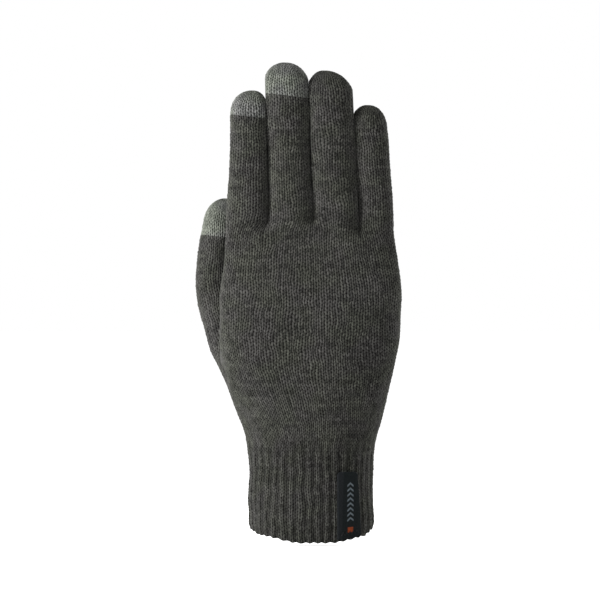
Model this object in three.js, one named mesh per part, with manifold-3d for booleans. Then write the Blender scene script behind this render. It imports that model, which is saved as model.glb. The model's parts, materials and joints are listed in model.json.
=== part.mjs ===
// A knitted touchscreen glove for the right hand, fingers up, in millimetres.
// Frame: +Z runs from the cuff to the fingertips, -Y is the back of the hand, +Y is the palm,
// and +X is the little-finger side. The origin is on the cuff's rim, in the middle of its wall at
// the middle of the back of the hand.
// The knit is one fabric, so every tube below is a piece of the same wall. The tubes part at
// the flex lines, where a wearer's knuckles bend, and between knitting steps and yarns.
import * as THREE from "three";
import { mergeVertices } from "three/addons/utils/BufferGeometryUtils.js";
import Module from "manifold-3d";

const wasm = await Module();
wasm.setup();

// ---- Driving dimensions ----
const WALL = 2; // thickness of the knitted fabric
const GAP = 0.4; // clearance between neighbouring pieces
const HINGE_GAP = 0.3; // half the clearance that a flex line keeps on its axis
const CUFF_TOP = 44; // where the rib ends and the plain knit begins
const THUMB_CROTCH = 105; // where the thumb leaves the palm
const PALM_TOP = 160; // where the palm divides into the fingers
const RIM_RISE = 5; // how much higher the rim is at the sides than in the middle
const RIM_FLAT = 7; // half the width of the rim that stands flat
const SHOULDER = 2.2; // how far the palm's top edge draws in under the fingers
const AROUND_HAND = 48; // facets around the hand
const AROUND_FINGER = 24; // facets around a finger
const DOME_SQUARE = 2.3; // how blunt the fingertips are, where 2 is round
const DOME_HEIGHT = 0.95; // a finger's dome, as a share of its half width
const THUMB_LINING_DROP = 0.6; // how much lower the thumb's lining closes, as a share of its inset
const REACH = 70; // half the size of a cutting prism, which only has to clear the glove
const AXIS_LEAN = THREE.MathUtils.degToRad(3); // finger joints lean so a curl drifts off the thumb

// The hand tube from rim to fingers: each section's sides, back, front and squareness.
const HAND = [
  { z: 0, left: -31.0, right: 30.8, back: -22.4, front: 22.4, square: 2.1 },
  { z: 12, left: -31.5, right: 31.4, back: -22.5, front: 22.5, square: 2.1 },
  { z: 30, left: -30.5, right: 30.5, back: -21.8, front: 21.8, square: 2.1 },
  { z: 43, left: -31.2, right: 30.9, back: -21.5, front: 21.5, square: 2.1 },
  { z: 52, left: -32.6, right: 32.6, back: -20.8, front: 21.4, square: 2.15 },
  { z: 62, left: -36.0, right: 35.2, back: -20.3, front: 21.2, square: 2.2 },
  { z: 74, left: -40.9, right: 38.7, back: -19.6, front: 20.4, square: 2.3 },
  { z: 88, left: -43.6, right: 41.9, back: -19.0, front: 18.8, square: 2.45 },
  { z: 104, left: -44.9, right: 44.5, back: -18.4, front: 16.3, square: 2.6 },
  { z: 122, left: -45.2, right: 45.5, back: -18.0, front: 13.6, square: 2.7 },
  { z: 138, left: -44.6, right: 44.2, back: -17.6, front: 11.4, square: 2.7 },
  { z: 150, left: -43.4, right: 42.8, back: -17.0, front: 9.4, square: 2.7 },
  { z: PALM_TOP, left: -42.3, right: 41.8, back: -15.4, front: 7.2, square: 2.6 },
];

// Each finger: its axis at the root and at the tip, its half width and half depth there,
// the height of its crotch and its tip, and where a conductive cap begins.
const FINGERS = {
  index: {
    root: { x: -32.4, y: -4.4, half: 9.8, deep: 9.5 },
    tip: { x: -31.8, y: -2.6, half: 8.7, deep: 8.6 },
    crotch: 160,
    top: 226,
    cap: 212.5,
  },
  middle: {
    root: { x: -10.9, y: -4.6, half: 10.7, deep: 10.1 },
    tip: { x: -12.1, y: -2.6, half: 10.5, deep: 9.7 },
    crotch: 162.5,
    top: 240,
    cap: 223,
  },
  ring: {
    root: { x: 11.5, y: -4.6, half: 10.9, deep: 10.1 },
    tip: { x: 9.9, y: -2.6, half: 10.6, deep: 9.7 },
    crotch: 161,
    top: 236,
  },
  little: {
    root: { x: 32.4, y: -4.2, half: 9.1, deep: 8.8 },
    tip: { x: 29.0, y: -2.4, half: 7.6, deep: 7.8 },
    crotch: 158,
    top: 219.5,
  },
};
const ROOT_DEPTH = 22; // how far a finger's tube starts below the top of the palm
const ROOT_NARROWS = 0.62;
const FINGER_SQUARE = 2.15; // how square a finger's section is
const KNUCKLE_ABOVE_CROTCH = 8;
const MIDDLE_JOINT_SHARE = 0.38; // of a finger's length above its crotch
const END_JOINT_SHARE = 0.68;
const KNUCKLE = { flex: 70, back: 10 }; // degrees of bend towards the palm and backwards
const MIDDLE_JOINT = { flex: 85, back: 0 };
const END_JOINT = { flex: 45, back: 0 };
const AXIS_TO_PALM = 0.38; // joint axes sit this share of the half depth towards the palm

// The thumb's axis from the heel of the hand to its tip.
const THUMB = [
  { z: 62, x: -22.0, y: 5.0, half: 11.5, deep: 12.0 },
  { z: 78, x: -29.5, y: 10.5, half: 12.6, deep: 13.2 },
  { z: 91, x: -36.0, y: 15.0, half: 12.6, deep: 13.0 },
  { z: 101, x: -40.4, y: 18.6, half: 12.0, deep: 12.2 },
  { z: 110, x: -43.4, y: 22.2, half: 11.2, deep: 11.6 },
  { z: 118, x: -46.2, y: 24.6, half: 10.8, deep: 11.2 },
  { z: 127, x: -48.2, y: 27.0, half: 10.4, deep: 10.8 },
  { z: 140, x: -49.0, y: 30.0, half: 9.6, deep: 10.2 },
  { z: 151, x: -48.0, y: 32.0, half: 8.6, deep: 9.7 },
  { z: 161, x: -47.6, y: 33.4, half: 7.8, deep: 9.2 },
];
const THUMB_TOP = 173.4;
const THUMB_CAP = 152.8;
const THUMB_JOINTS = {
  base: { z: 103, out: 35, in: 15, shift: 2 }, // shift: how far outwards the axis sits
  knuckle: { z: 124, out: 5, in: 45, shift: -3.6 },
  end: { z: 144, out: 5, in: 60, shift: -3.2 },
};

const ELASTIC = { radius: 0.35, turns: 6, low: 6, high: 39 };
const STEPS_PER_TURN = 24;
const LABEL = {
  angle: -55, // degrees round the cuff from +X
  width: 12.8,
  low: 1.6,
  high: 34.5,
  leaf: 0.4, // thickness of one leaf of the folded ribbon
  fold: 0.4, // gap between the two leaves
  clear: 1.15, // from the curved cuff to the flat ribbon's inner leaf
};
const STITCH = { radius: 0.22, width: 9.4, height: 1.6, count: 5, above: 2.2 };

// ---- Helpers ----
const ease = (t) => {
  const s = THREE.MathUtils.clamp(t, 0, 1);
  return s * s * (3 - 2 * s);
};
const mix = THREE.MathUtils.lerp;

// A smooth value between the stations of a list, by Catmull-Rom over their heights.
function along(list, key, z) {
  const last = list.length - 1;
  let i = list.findIndex((s) => s.z > z) - 1;
  if (i < -1) i = last - 1;
  i = THREE.MathUtils.clamp(i, 0, last - 1);
  const [a, b] = [list[i], list[i + 1]];
  const slope = (p, q) => (list[q][key] - list[p][key]) / (list[q].z - list[p].z);
  const start = i > 0 ? slope(i - 1, i + 1) : slope(0, 1);
  const end = i + 1 < last ? slope(i, i + 2) : slope(last - 1, last);
  const span = b.z - a.z;
  const t = THREE.MathUtils.clamp((z - a.z) / span, 0, 1);
  const h = ease(t);
  return (
    mix(a[key], b[key], h) + span * (start * t * (1 - t) ** 2 - end * t ** 2 * (1 - t))
  );
}

// A closed ring of points: a superellipse around (x, y) at height z.
function ring(x, y, z, half, deep, square, count) {
  return Array.from({ length: count }, (_, i) => {
    const angle = (2 * Math.PI * i) / count;
    const bulge = (v) => Math.sign(v) * Math.abs(v) ** (2 / square);
    const px = x + half * bulge(Math.cos(angle));
    const py = y + deep * bulge(Math.sin(angle));
    return new THREE.Vector3(px, py, z);
  });
}

// A closed solid through a stack of rings, with a fan over each end.
function loft(rings) {
  const count = rings[0].length;
  const points = rings.flat();
  const ends = [rings[0], rings[rings.length - 1]];
  ends.forEach((end) => {
    const centre = end.reduce((sum, p) => sum.add(p), new THREE.Vector3());
    points.push(centre.divideScalar(count));
  });
  const [low, high] = [points.length - 2, points.length - 1];
  const top = (rings.length - 1) * count;
  const faces = [];
  for (let i = 0; i < count; i++) {
    const j = (i + 1) % count;
    faces.push(low, j, i, high, top + i, top + j);
    for (let k = 0; k < top; k += count)
      faces.push(k + i, k + j, k + count + j, k + i, k + count + j, k + count + i);
  }
  return new THREE.BufferGeometry().setFromPoints(points).setIndex(faces);
}

// three.js geometry to a manifold-3d solid and back.
function solid(geometry) {
  const bare = geometry.clone();
  bare.deleteAttribute("normal");
  bare.deleteAttribute("uv");
  const merged = mergeVertices(bare, 1e-4);
  return new wasm.Manifold(
    new wasm.Mesh({
      numProp: 3,
      vertProperties: new Float32Array(merged.attributes.position.array),
      triVerts: new Uint32Array(merged.index.array),
    }),
  );
}
function geometryOf(manifold) {
  const mesh = manifold.getMesh();
  const geometry = new THREE.BufferGeometry();
  geometry.setAttribute(
    "position",
    new THREE.BufferAttribute(new Float32Array(mesh.vertProperties), 3),
  );
  geometry.setIndex(new THREE.BufferAttribute(new Uint32Array(mesh.triVerts), 1));
  geometry.computeVertexNormals();
  return geometry;
}

// A prism over a polygon in the plane of `across` and `up`, running both ways along `axis`.
function prism(points, origin, axis, up, length = REACH) {
  const shape = new THREE.Shape(points.map(([a, b]) => new THREE.Vector2(a, b)));
  const geometry = new THREE.ExtrudeGeometry(shape, {
    depth: 2 * length,
    bevelEnabled: false,
  });
  const across = new THREE.Vector3().crossVectors(up, axis);
  const place = new THREE.Matrix4().makeBasis(across, up, axis);
  const start = origin.clone().addScaledVector(axis, -length);
  return solid(geometry.applyMatrix4(place.setPosition(start)));
}

// A flex line: `axis` is the hinge, `up` points to the moving side, and a positive turn
// closes the side that `across` (up x axis) points away from. `side` picks the half space
// past the hinge (+1) or before it (-1), cut back so the pieces clear each other when bent.
function hingeHalf(hinge, side, reach = REACH) {
  const lift = (angle) => REACH * Math.tan(THREE.MathUtils.degToRad(angle / 2));
  const outline = [
    [REACH, side * (HINGE_GAP + lift(hinge.back))],
    [0, side * HINGE_GAP],
    [-REACH, side * (HINGE_GAP + lift(hinge.flex))],
    [-REACH, side * 2 * REACH],
    [REACH, side * 2 * REACH],
  ];
  if (side < 0) outline.reverse();
  return prism(outline, hinge.at, hinge.axis, hinge.up, reach);
}

// A slab between two heights, used to part the knitting steps.
function slab(low, high) {
  const outline = [
    [-REACH, low],
    [REACH, low],
    [REACH, high],
    [-REACH, high],
  ];
  const up = new THREE.Vector3(0, 0, 1);
  return prism(outline, new THREE.Vector3(), new THREE.Vector3(0, 1, 0), up);
}

// ---- The hand tube ----
const CUFF_HALF = 32; // just over half the cuff's width
const rimHeight = (x) => RIM_RISE * ease((Math.abs(x) - RIM_FLAT) / (CUFF_HALF - RIM_FLAT));

// The space under the rim, which rises towards the sides of the hand.
function underRim(steps = 20) {
  const outline = [
    [-CUFF_HALF, -RIM_RISE],
    [CUFF_HALF, -RIM_RISE],
  ];
  for (let i = 0; i <= steps; i++) {
    const x = mix(CUFF_HALF, -CUFF_HALF, i / steps);
    outline.push([x, rimHeight(x)]);
  }
  const up = new THREE.Vector3(0, 0, 1);
  return prism(outline, new THREE.Vector3(), new THREE.Vector3(0, 1, 0), up);
}

// The hand's section at a height, drawn in from its outer face by `inset`.
function handRing(z, inset = 0, count = AROUND_HAND) {
  const [left, right] = [along(HAND, "left", z), along(HAND, "right", z)];
  const [back, front] = [along(HAND, "back", z), along(HAND, "front", z)];
  const square = along(HAND, "square", z);
  const half = (right - left) / 2 - inset;
  const deep = (front - back) / 2 - inset;
  return ring((left + right) / 2, (back + front) / 2, z, half, deep, square, count);
}

function handOuter() {
  const heights = [9, 20, 32, 43, 52, 62, 74, 88, 104, 122, 138, 150, 157];
  const shoulder = handRing(PALM_TOP + 1, SHOULDER);
  const sections = [0, ...heights].map((z) => handRing(z));
  return solid(loft([...sections, shoulder])).subtract(underRim());
}

function handInner() {
  const heights = [9, 20, 32, 43, 52, 62, 74, 88, 104, 122, 138, 150];
  const mouth = handRing(0, WALL).map((p) => p.setZ(-RIM_RISE));
  const shoulder = handRing(PALM_TOP + 1 - WALL, WALL + SHOULDER);
  return solid(loft([mouth, ...heights.map((z) => handRing(z, WALL)), shoulder]));
}

// ---- Fingers ----
// A finger's section at a height: straight tube, then a blunt dome.
function fingerRing(finger, z, inset = 0) {
  const { root, tip, crotch, top } = finger;
  const share = THREE.MathUtils.clamp((z - crotch) / (top - crotch), 0, 1);
  const half = mix(root.half, tip.half, share);
  const deep = mix(root.deep, tip.deep, share);
  return ring(
    mix(root.x, tip.x, share),
    mix(root.y, tip.y, share),
    z,
    half - inset,
    deep - inset,
    FINGER_SQUARE,
    AROUND_FINGER,
  );
}

// Rings that close a tube with a blunt dome between `start` and `top`.
function domeRings(section, start, top, steps = 5) {
  const base = section(start);
  const centre = base.reduce((sum, p) => sum.add(p), new THREE.Vector3());
  centre.divideScalar(base.length);
  return Array.from({ length: steps }, (_, i) => {
    const angle = ((i + 1) / (steps + 0.5)) * (Math.PI / 2);
    const share = Math.cos(angle) ** (2 / DOME_SQUARE);
    const height = mix(start, top, Math.sin(angle) ** (2 / DOME_SQUARE));
    const drawIn = (p) => p.clone().sub(centre).multiplyScalar(share).add(centre);
    return base.map((p) => drawIn(p).setZ(height));
  });
}

function fingerSolid(finger, inset) {
  const low = PALM_TOP - ROOT_DEPTH;
  const top = finger.top - inset;
  const start = top - (finger.tip.half - inset) * DOME_HEIGHT;
  const heights = [low, finger.crotch, mix(finger.crotch, start, 0.35)];
  heights.push(mix(finger.crotch, start, 0.7), start);
  const section = (z) => fingerRing(finger, z, inset);
  const rings = heights.map(section);
  // The root narrows inside the palm, so that it stays behind the palm's wall.
  const middle = new THREE.Vector3(finger.root.x, finger.root.y, low);
  rings[0].forEach((p) => p.sub(middle).multiplyScalar(ROOT_NARROWS).add(middle));
  return solid(loft([...rings, ...domeRings(section, start, top)]));
}

// A finger's hinges: knuckle, middle joint and end joint.
function fingerHinges(finger) {
  const { root, tip, crotch, top } = finger;
  const length = top - crotch;
  const hinge = (z, limits) => {
    const share = (z - crotch) / length;
    const deep = mix(root.deep, tip.deep, share);
    const at = new THREE.Vector3(
      mix(root.x, tip.x, share),
      mix(root.y, tip.y, share) + AXIS_TO_PALM * deep,
      z,
    );
    const axis = new THREE.Vector3(-Math.cos(AXIS_LEAN), 0, -Math.sin(AXIS_LEAN));
    const up = new THREE.Vector3(-Math.sin(AXIS_LEAN), 0, Math.cos(AXIS_LEAN));
    return { at, axis, up, ...limits };
  };
  return {
    knuckle: hinge(crotch + KNUCKLE_ABOVE_CROTCH, KNUCKLE),
    middle: hinge(crotch + length * MIDDLE_JOINT_SHARE, MIDDLE_JOINT),
    end: hinge(crotch + length * END_JOINT_SHARE, END_JOINT),
  };
}

// ---- Thumb ----
const thumbAt = (z) =>
  new THREE.Vector3(along(THUMB, "x", z), along(THUMB, "y", z), z);

function thumbRing(z, inset = 0) {
  const { x, y } = thumbAt(z);
  const half = along(THUMB, "half", z) - inset;
  return ring(x, y, z, half, along(THUMB, "deep", z) - inset, 2, AROUND_FINGER);
}

function thumbSolid(inset) {
  const top = THUMB_TOP - inset;
  const start = THUMB.at(-1).z - inset * THUMB_LINING_DROP;
  const heights = [70, 78, 86, 94, 102, 110, 118, 127, 140, 151, start]; // denser at the crotch
  const rings = heights.map((z) => thumbRing(z, inset));
  return solid(loft([...rings, ...domeRings((z) => thumbRing(z, inset), start, top)]));
}

function thumbHinge({ z, out, in: inwards, shift }) {
  const up = thumbAt(z + 2).sub(thumbAt(z - 2)).normalize();
  const axis = new THREE.Vector3(0, -1, 0).addScaledVector(up, up.y).normalize();
  const across = new THREE.Vector3().crossVectors(up, axis);
  const at = thumbAt(z).addScaledVector(across, -shift);
  return { at, axis, up, flex: out, back: inwards };
}

// ---- Materials: heather yarn, conductive yarn, elastic, woven ribbon and thread ----
function material(colour, roughness) {
  return new THREE.MeshStandardMaterial({ color: colour, roughness, metalness: 0 });
}
const YARN = material(0x45453f, 0.95);
const CONDUCTIVE = material(0x74766f, 0.85);
const RUBBER = material(0x2b2b2a, 0.8);
const RIBBON = material(0x14181a, 0.6);
const THREAD = material(0x3a3d3f, 0.7);

// ---- Assembly ----
// Everything is drawn about the centre of the cuff opening, then moved to the rim's origin.
const glove = new THREE.Group();
glove.name = "touchscreen_glove";
glove.position.y = -HAND[0].back - WALL / 2;
function addSolid(name, manifold, finish) {
  const mesh = new THREE.Mesh(geometryOf(manifold), finish);
  mesh.name = name;
  glove.add(mesh);
}

const tubes = Object.entries(FINGERS).map(([name, finger]) => ({
  name,
  finger,
  outer: fingerSolid(finger, 0),
  inner: fingerSolid(finger, WALL),
  hinges: fingerHinges(finger),
}));
const thumbOuter = thumbSolid(0);
const thumbInner = thumbSolid(WALL);
const thumb = {
  base: thumbHinge(THUMB_JOINTS.base),
  knuckle: thumbHinge(THUMB_JOINTS.knuckle),
  end: thumbHinge(THUMB_JOINTS.end),
};
const handHollow = handInner();

// The cuff and the two steps of the palm share the hand tube.
const handShell = handOuter().subtract(handHollow);
addSolid("ribbed_cuff", handShell.intersect(slab(-1, CUFF_TOP - GAP / 2)), YARN);

const thumbRoot = thumbOuter.intersect(hingeHalf(thumb.base, -1));
const lowerPalm = handOuter()
  .add(thumbRoot)
  .subtract(handHollow)
  .subtract(thumbInner)
  .intersect(slab(CUFF_TOP + GAP / 2, THUMB_CROTCH - GAP / 2));
addSolid("lower_palm", lowerPalm, YARN);

let upperPalm = handOuter().intersect(slab(THUMB_CROTCH + GAP / 2, PALM_TOP + REACH));
tubes.forEach(({ finger, outer, hinges }) => {
  const reach = finger.root.half + GAP;
  const stub = outer.intersect(hingeHalf(hinges.knuckle, -1));
  upperPalm = upperPalm.subtract(hingeHalf(hinges.knuckle, 1, reach)).add(stub);
});
upperPalm = upperPalm.subtract(handHollow);
tubes.forEach(({ inner }) => (upperPalm = upperPalm.subtract(inner)));
addSolid("upper_palm", upperPalm, YARN);

// Each finger: three tubes between flex lines, and a cap where the yarn changes.
tubes.forEach(({ name, finger, outer, inner, hinges }) => {
  const shell = outer.subtract(inner);
  const { knuckle, middle, end } = hinges;
  const lower = shell.intersect(hingeHalf(knuckle, 1)).intersect(hingeHalf(middle, -1));
  const centre = shell.intersect(hingeHalf(middle, 1)).intersect(hingeHalf(end, -1));
  const upper = shell.intersect(hingeHalf(end, 1));
  addSolid(`${name}_lower_tube`, lower, YARN);
  addSolid(`${name}_middle_tube`, centre, YARN);
  if (!finger.cap) {
    addSolid(`${name}_end_tube`, upper, YARN);
    return;
  }
  addSolid(`${name}_end_tube`, upper.intersect(slab(0, finger.cap - GAP / 2)), YARN);
  const cap = upper.intersect(slab(finger.cap + GAP / 2, finger.top + REACH));
  addSolid(`${name}_touch_cap`, cap, CONDUCTIVE);
});

// The thumb: the same, on its own axis.
const thumbShell = thumbOuter.subtract(thumbInner);
const thumbPart = (from, to) =>
  thumbShell.intersect(hingeHalf(from, 1)).intersect(hingeHalf(to, -1));
addSolid("thumb_lower_tube", thumbPart(thumb.base, thumb.knuckle), YARN);
addSolid("thumb_middle_tube", thumbPart(thumb.knuckle, thumb.end), YARN);
const thumbEnd = thumbShell.intersect(hingeHalf(thumb.end, 1));
const underCap = thumbEnd.intersect(slab(0, THUMB_CAP - GAP / 2));
addSolid("thumb_end_tube", underCap, YARN);
const thumbCap = thumbEnd.intersect(slab(THUMB_CAP + GAP / 2, THUMB_TOP + REACH));
addSolid("thumb_touch_cap", thumbCap, CONDUCTIVE);

// The elastic thread: one spiral laid against the inside of the rib.
class ElasticPath extends THREE.Curve {
  getPoint(t) {
    const z = mix(ELASTIC.low, ELASTIC.high, t);
    const inset = WALL + GAP + ELASTIC.radius;
    const section = handRing(z, inset, STEPS_PER_TURN);
    const step = t * ELASTIC.turns * STEPS_PER_TURN;
    const from = section[Math.floor(step) % STEPS_PER_TURN];
    const to = section[Math.ceil(step) % STEPS_PER_TURN];
    return from.clone().lerp(to, step % 1);
  }
}
function threadAlong(path, radius, steps, sides) {
  const profile = new THREE.Shape().absarc(0, 0, radius, 0, 2 * Math.PI);
  return new THREE.ExtrudeGeometry(profile, {
    steps,
    curveSegments: sides,
    extrudePath: path,
    bevelEnabled: false,
  });
}
const elasticSteps = STEPS_PER_TURN * ELASTIC.turns;
const elastic = threadAlong(new ElasticPath(), ELASTIC.radius, elasticSteps, 3);
addSolid("cuff_elastic", solid(elastic), RUBBER);

// The woven label: a ribbon folded over at its top, its ends caught at the hem.
// Its local frame stands on the cuff's outer face: x along the hem, y outwards, z up.
function onCuff(outwards) {
  const count = 360;
  const section = handRing((LABEL.low + LABEL.high) / 2, 0, count);
  const index = count + Math.round(LABEL.angle);
  const tangent = section[index + 1].clone().sub(section[index - 1]).normalize();
  const normal = new THREE.Vector3(tangent.y, -tangent.x, 0);
  const up = new THREE.Vector3(0, 0, 1);
  const frame = new THREE.Matrix4().makeBasis(tangent, normal.clone().negate(), up);
  const foot = section[index].clone().addScaledVector(normal, outwards).setZ(0);
  return frame.setPosition(foot);
}
function labelGeometry() {
  const { leaf, fold, low, high, width } = LABEL;
  const depth = 2 * leaf + fold;
  const profile = new THREE.Shape();
  profile.moveTo(0, low);
  profile.lineTo(-leaf, low);
  profile.lineTo(-leaf, high - leaf - fold / 2);
  profile.absarc(-depth / 2, high - depth / 2, fold / 2, 0, Math.PI, false);
  profile.lineTo(-depth + leaf, low);
  profile.lineTo(-depth, low);
  profile.lineTo(-depth, high - depth / 2);
  profile.absarc(-depth / 2, high - depth / 2, depth / 2, Math.PI, 0, true);
  profile.lineTo(0, low);
  const geometry = new THREE.ExtrudeGeometry(profile, {
    depth: width,
    curveSegments: 6,
    bevelEnabled: false,
  });
  const place = new THREE.Matrix4().makeBasis(
    new THREE.Vector3(0, 1, 0),
    new THREE.Vector3(0, 0, 1),
    new THREE.Vector3(1, 0, 0),
  );
  geometry.applyMatrix4(place.setPosition(-width / 2, 0, 0));
  return geometry.applyMatrix4(onCuff(LABEL.clear));
}
addSolid("woven_label", solid(labelGeometry()), RIBBON);

// The label's stitching: one zigzag thread across its foot.
function stitchGeometry() {
  const out = 2 * LABEL.leaf + LABEL.fold + GAP + STITCH.radius;
  const corners = Array.from({ length: 2 * STITCH.count + 1 }, (_, i) => {
    const x = STITCH.width * (i / (2 * STITCH.count) - 0.5);
    const z = LABEL.low + STITCH.above + (i % 2) * STITCH.height;
    return new THREE.Vector3(x, -out, z);
  });
  const path = new THREE.CatmullRomCurve3(corners, false, "centripetal");
  const thread = threadAlong(path, STITCH.radius, 12 * STITCH.count, 3);
  return thread.applyMatrix4(onCuff(LABEL.clear));
}
addSolid("label_stitching", solid(stitchGeometry()), THREAD);

export default glove;
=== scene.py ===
"""A knitted touchscreen glove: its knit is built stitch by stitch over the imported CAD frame.

Every tube of the knit is a grid whose columns are wales and whose rows are courses. Heights,
widths and joints are measured from the frame. Lengths are in metres.
"""

import json
import math

import bpy
import numpy as np
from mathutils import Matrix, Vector


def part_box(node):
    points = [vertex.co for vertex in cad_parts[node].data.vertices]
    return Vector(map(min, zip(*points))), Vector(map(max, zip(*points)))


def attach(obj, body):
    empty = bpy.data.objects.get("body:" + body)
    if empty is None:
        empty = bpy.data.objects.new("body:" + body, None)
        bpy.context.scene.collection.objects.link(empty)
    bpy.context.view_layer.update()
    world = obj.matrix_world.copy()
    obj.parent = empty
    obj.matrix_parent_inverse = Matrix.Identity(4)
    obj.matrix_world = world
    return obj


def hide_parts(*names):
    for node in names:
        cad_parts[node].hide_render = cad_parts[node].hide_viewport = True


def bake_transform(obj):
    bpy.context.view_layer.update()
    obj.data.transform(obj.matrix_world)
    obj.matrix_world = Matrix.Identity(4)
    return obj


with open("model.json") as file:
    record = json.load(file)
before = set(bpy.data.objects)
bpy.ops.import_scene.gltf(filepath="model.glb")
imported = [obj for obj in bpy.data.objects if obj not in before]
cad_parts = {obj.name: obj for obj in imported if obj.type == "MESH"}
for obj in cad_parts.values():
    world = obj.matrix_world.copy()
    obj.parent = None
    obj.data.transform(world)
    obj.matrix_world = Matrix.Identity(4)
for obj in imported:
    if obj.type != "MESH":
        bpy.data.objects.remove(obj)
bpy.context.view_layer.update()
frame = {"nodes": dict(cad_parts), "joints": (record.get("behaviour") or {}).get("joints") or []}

MM = 0.001
CUFF_TOP = 44 * MM  # where the rib ends
THUMB_CROTCH = 105 * MM  # where the thumb leaves the palm
PALM_TOP = 160 * MM
RIM_RISE = 4.3 * MM  # how much higher the rim is at its sides
RIM_FLAT = 7 * MM  # half the width of the rim that stands flat
RIM_SHIFT = 2 * MM  # how far right of its middle the rim is lowest
RIM_CORNER = 3 * MM  # the rim's rounding at its very sides
KNUCKLE_ABOVE_CROTCH = 7 * MM

COURSE = 1.7 * MM  # height of a stitch
ACROSS = 6  # columns of vertices in a wale
UP = 4  # rows of vertices in a course
RELIEF = 0.5 * MM  # how far the yarn stands above the holes between stitches
THICK = 1.5 * MM  # fabric under the relief
CUFF_WALES = 76
BODY_WALES = 92
PALM_WALES = 78
THUMB_WALES = 26
CROTCH_WALES = 3  # between two fingers
THUMB_CROTCH_WALES = 6
PALM_THUMB_FROM = 69  # palm wales that run into the thumb's crotch start here
FRONT_WALES = 39  # palm wales over the back of the hand, from side to side
BODY_LEFT = -6  # the body wale at the hand's left side, at the wrist
THUMB_TURN = 0.21  # share of the thumb's girth from its left side to its crotch

rng = np.random.default_rng(7)
rim_low, rim_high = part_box("ribbed_cuff")
CENTRE = (rim_low + rim_high) / 2  # middle of the cuff


# ---- Small mathematics ----
def smoothstep(t):
    t = np.clip(t, 0.0, 1.0)
    return t * t * (3.0 - 2.0 * t)


def mix(a, b, t):
    return a + (b - a) * t


def blur(values, sigma, axis, wrap):
    """Gaussian blur of an array along one axis; sigma is in cells."""
    reach = int(math.ceil(3 * sigma))
    kernel = np.exp(-0.5 * (np.arange(-reach, reach + 1) / sigma) ** 2)
    kernel /= kernel.sum()
    pad = [(0, 0)] * values.ndim
    pad[axis] = (reach, reach)
    padded = np.pad(values, pad, mode="wrap" if wrap else "edge")
    return np.apply_along_axis(lambda v: np.convolve(v, kernel, "valid"), axis, padded)


class Waves:
    """Smooth noise of unit spread through space: a sum of plane waves of mixed lengths."""

    def __init__(self, shortest, longest, count=28):
        direction = rng.standard_normal((count, 3))
        direction /= np.linalg.norm(direction, axis=1, keepdims=True)
        length = np.exp(rng.uniform(math.log(shortest), math.log(longest), count))
        self.wave = direction * (2 * math.pi / length)[:, None]
        self.phase = rng.uniform(0, 2 * math.pi, count)

    def at(self, points):
        total = np.zeros(points.shape[:-1])
        for wave, phase in zip(self.wave, self.phase):
            total += np.sin(points @ wave + phase)
        return total * math.sqrt(2 / len(self.phase))


FOLDS = (Waves(14 * MM, 45 * MM), Waves(14 * MM, 45 * MM))  # the fabric's gentle unevenness
WANDER = Waves(5 * MM, 14 * MM)  # how wales stray sideways
BOB = Waves(4 * MM, 12 * MM)  # how courses stray up and down
CLOUD = Waves(9 * MM, 40 * MM)  # uneven colour


# ---- Measuring the frame ----
def edges_of(nodes):
    """Both ends of every triangle edge of some CAD nodes."""
    tails, heads = [], []
    for name in nodes:
        mesh = frame["nodes"][name].data
        points = np.empty(len(mesh.vertices) * 3, np.float32)
        mesh.vertices.foreach_get("co", points)
        points = points.reshape(-1, 3)
        pairs = np.empty(len(mesh.edges) * 2, np.int32)
        mesh.edges.foreach_get("vertices", pairs)
        pairs = pairs.reshape(-1, 2)
        tails.append(points[pairs[:, 0]])
        heads.append(points[pairs[:, 1]])
    return np.concatenate(tails), np.concatenate(heads)


def slice_at(edges, z):
    """Points (x, y) where a level plane cuts the edges."""
    a, b = edges
    cut = (a[:, 2] > z) != (b[:, 2] > z)
    a, b = a[cut], b[cut]
    share = (z - a[:, 2]) / (b[:, 2] - a[:, 2])
    return (a + (b - a) * share[:, None])[:, :2]


class Profile:
    """Sides of a tube as smooth functions of height: left, right, back and front."""

    def __init__(self, heights, sides, smooth):
        self.grid = np.arange(heights[0], heights[-1], MM)
        sides = np.array(sides)
        columns = [np.interp(self.grid, heights, sides[:, k]) for k in range(4)]
        self.sides = blur(np.stack(columns), smooth / MM, 1, False)

    def at(self, z):
        return [np.interp(z, self.grid, side) for side in self.sides]


def measure_hand():
    """The hand's sides without the thumb, whose root lies at the left of the palm."""
    edges = edges_of(("ribbed_cuff", "lower_palm", "upper_palm"))
    heights = np.arange(7, 154, 3) * MM
    sides = []
    for z in heights:
        x, y = slice_at(edges, z).T
        sides.append((x[y < CENTRE.y].min(), x.max(), y.min(), y[x > 0].max()))
    return Profile(heights, sides, smooth=3 * MM)


THUMB_SLICES = (114, 131, 138, 149, 157, 163)  # heights in mm at which the thumb is measured
ROOT_SLICES = (50, 58, 66, 74, 82, 90, 97)  # the same for its root in the palm
ROOT_RIGHT = -15 * MM  # the root lies left of this
THUMB_LEAN = 1.8 * MM  # how much further than the CAD the thumb's upper part leans to the right
LEAN_FROM = 128 * MM  # height where it starts to
LEAN_OVER = 26 * MM


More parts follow.
